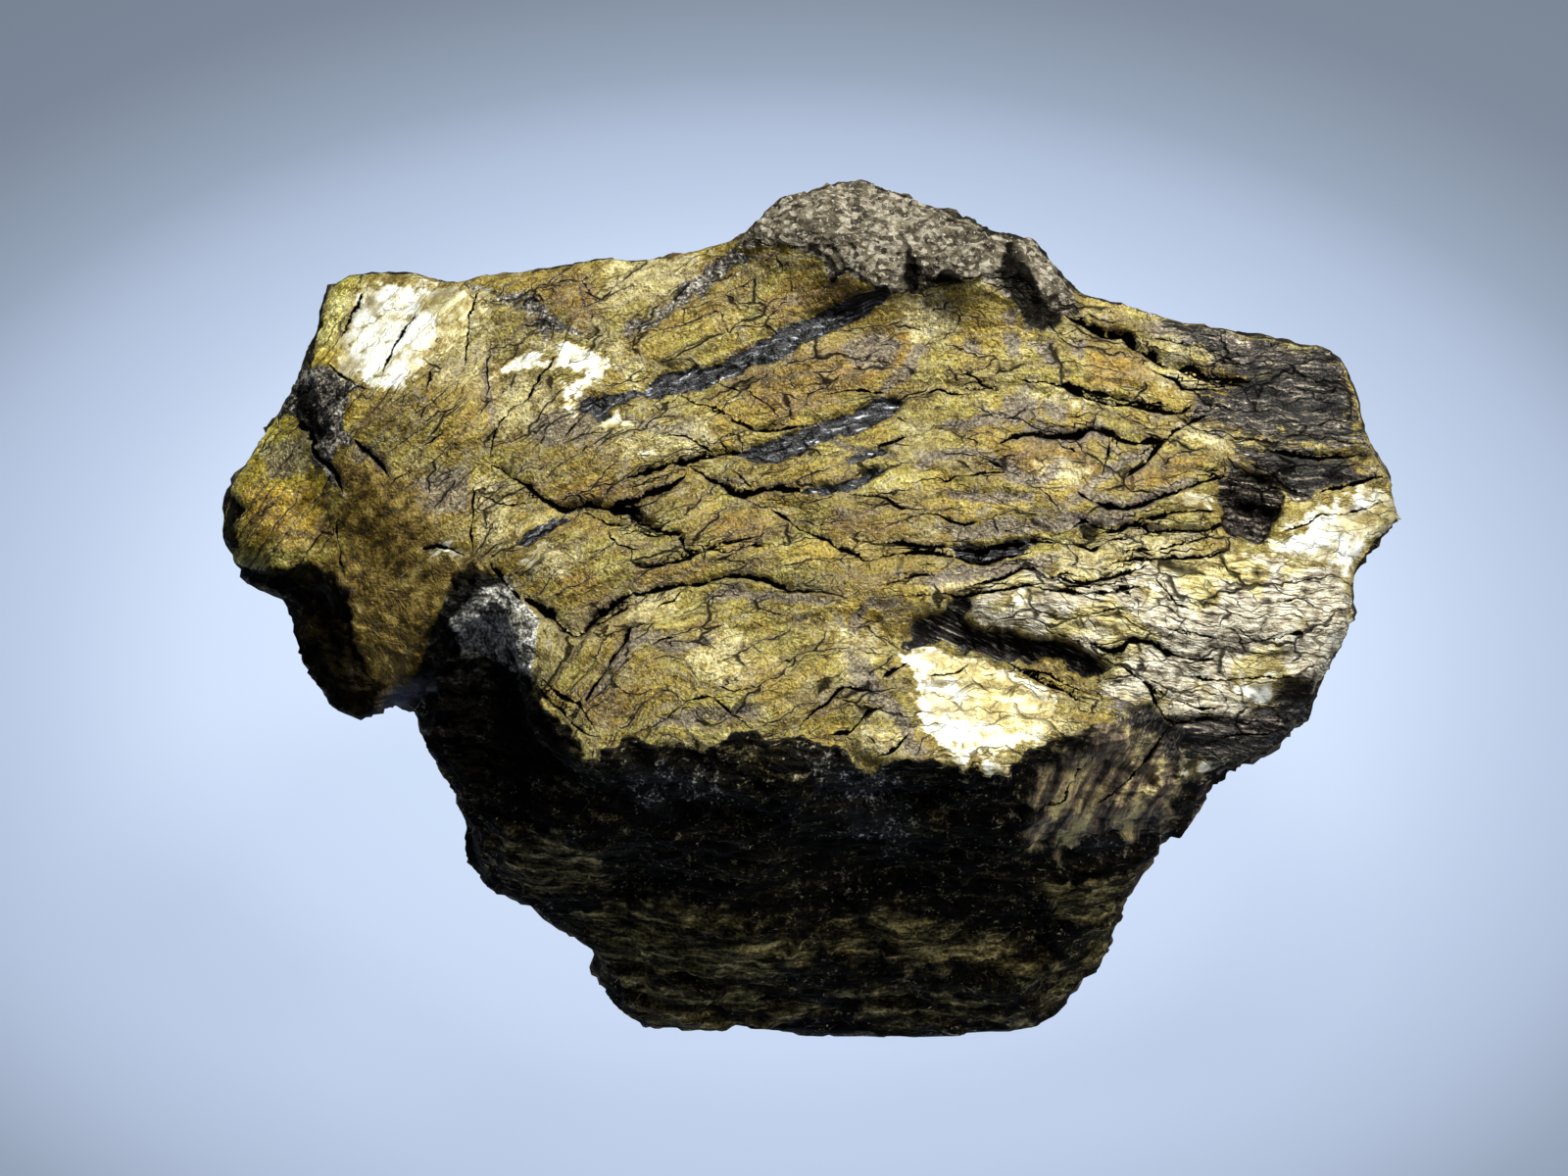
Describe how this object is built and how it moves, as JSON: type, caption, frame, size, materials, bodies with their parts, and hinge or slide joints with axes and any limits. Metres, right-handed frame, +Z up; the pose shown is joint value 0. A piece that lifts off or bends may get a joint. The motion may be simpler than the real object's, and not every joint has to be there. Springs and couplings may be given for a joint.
{
  "type": "bronzite mineral specimen",
  "caption": "Broken, foliated bronzite hand specimen: a cleaved golden-bronze sheet over a dark rough wall, standing on its small flat underside.",
  "frame": {"origin": "middle of the bounding box at the flat underside of the foot, which is the ground", "axes": "+Z up as the stone stands; +X to the right and -Y to the viewer, as the cleaved sheet is seen from in front"},
  "size_m": [0.1046, 0.0616, 0.056],
  "materials": {
    "bronzite": null
  },
  "bodies": {
    "root": {"bronzite": "bronzite"}
  },
  "joints": []
}
